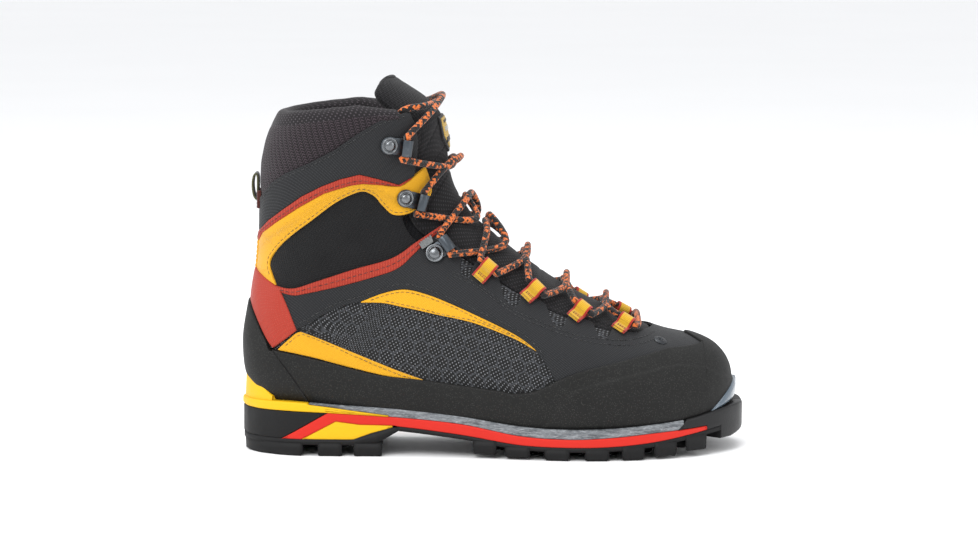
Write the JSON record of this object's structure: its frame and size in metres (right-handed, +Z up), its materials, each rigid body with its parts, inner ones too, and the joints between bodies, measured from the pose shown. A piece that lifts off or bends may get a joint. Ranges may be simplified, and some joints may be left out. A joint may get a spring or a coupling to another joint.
{
  "type": "mountaineering boot",
  "caption": "Lace-up mountaineering boot for the right foot with a hinged cuff, speed hooks, rubber rand, crampon welts and a lugged sole.",
  "frame": {"origin": "on the ground under the middle of the boot's box", "axes": "+X to the toe, +Y to the medial side, +Z up"},
  "size_m": [0.3036, 0.108, 0.228],
  "materials": {
    "black_rubber": "moulded tread rubber",
    "yellow_foam": "moulded foam, satin",
    "red_foam": "moulded foam, satin",
    "grey_foam": "marbled fibre-filled foam",
    "toe_tpu": "glossy moulded plastic",
    "shank_plastic": "fibre-filled plastic",
    "board": "pressed fibre board",
    "footbed_foam": "felt over foam",
    "lining": "knitted lining over foam",
    "stiffener": "thermoplastic sheet",
    "overlay": "coated microfibre with a fine diagonal rib",
    "side_fabric": "woven fabric with a printed hexagon grid of light dots",
    "yellow_fabric": "smooth coated microfibre",
    "red_fabric": "coated microfibre with a stitched edge",
    "rand_rubber": "speckled matt rubber",
    "red_rubber": "pebbled rubber",
    "flex_fabric": "stretch woven fabric",
    "tongue_fabric": "woven mesh over foam",
    "patch": "moulded and woven patch",
    "collar_knit": "chevron knit",
    "collar_edge": "knit with light dots",
    "hook_metal": "gunmetal, worn bright on the rims",
    "rivet_metal": "gunmetal, polished dome",
    "lock_metal": "satin",
    "loop_webbing": "woven tape with a red edge",
    "eyelet_metal": "satin",
    "lace_cord": "round braid, black with orange flecks",
    "pull_webbing": "woven webbing"
  },
  "bodies": {
    "lower": {"outsole_forefoot": "black_rubber", "outsole_heel": "black_rubber", "heel_block": "black_rubber", "heel_wedge": "yellow_foam", "midsole_plate": "red_foam", "midsole_cushion": "grey_foam", "heel_welt": "yellow_foam", "toe_lip": "black_rubber", "toe_insert": "toe_tpu", "shank": "shank_plastic", "lasting_board": "board", "lining_toe": "lining", "lining_lateral": "lining", "lining_medial": "lining", "lining_heel": "lining", "toe_puff": "stiffener", "heel_counter": "stiffener", "vamp": "overlay", "eyestay_lateral": "overlay", "eyestay_medial": "overlay", "quarter_lateral": "overlay", "quarter_medial": "overlay", "side_mesh_lateral": "side_fabric", "side_mesh_medial": "side_fabric", "front_stripe_lateral": "yellow_fabric", "front_stripe_medial": "yellow_fabric", "rear_stripe_lateral": "yellow_fabric", "rear_stripe_medial": "yellow_fabric", "ankle_trim_lateral": "red_fabric", "ankle_trim_medial": "red_fabric", "rand_front": "rand_rubber", "rand_heel": "rand_rubber", "heel_strip": "red_rubber", "ankle_flex_panel": "flex_fabric", "tongue_instep": "tongue_fabric", "tongue_bend": "tongue_fabric", "lock_hooks": "hook_metal", "lock_hook_rivets": "rivet_metal", "lace_locks": "lock_metal", "lace_loops": "loop_webbing", "toe_eyelets": "eyelet_metal", "lace_forefoot": "lace_cord", "lace_ankle": "lace_cord"},
    "cuff": {"tongue_shin": "tongue_fabric", "tongue_patch": "patch", "collar_padding": "lining", "collar_mesh": "collar_knit", "collar_band": "collar_edge", "cuff_overlay": "overlay", "cuff_trim": "red_fabric", "cuff_band": "yellow_fabric", "speed_hooks": "hook_metal", "speed_hook_rivets": "rivet_metal", "lace_cuff": "lace_cord"},
    "tongue_tip": {"tongue_tip": "tongue_fabric"},
    "pull_loop": {"pull_loop": "pull_webbing"},
    "footbed": {"footbed": "footbed_foam"}
  },
  "joints": [
    {"name": "ankle_flex", "type": "hinge", "parent": "lower", "child": "cuff", "pos_m": [-0.09, 0.002, 0.108], "axis": [0, 1, 0], "range_deg": [-6, 12], "stiffness_Nm_per_rad": 15, "deforming": ["ankle_flex_panel", "tongue_bend", "lace_ankle"]},
    {"name": "tongue_fold", "type": "hinge", "parent": "cuff", "child": "tongue_tip", "pos_m": [-0.05, 0.002, 0.21], "axis": [0, 1, 0], "range_deg": [-6, 14], "stiffness_Nm_per_rad": 0.4},
    {"name": "pull_loop_lift", "type": "hinge", "parent": "cuff", "child": "pull_loop", "pos_m": [-0.1445, 0.002, 0.1505], "axis": [0, -1, 0], "range_deg": [0, 75], "stiffness_Nm_per_rad": 0.02},
    {"name": "footbed_lift", "type": "hinge", "parent": "lower", "child": "footbed", "pos_m": [0.117, 0.01, 0.0265], "axis": [0, 1, 0], "range_deg": [0, 6]}
  ]
}
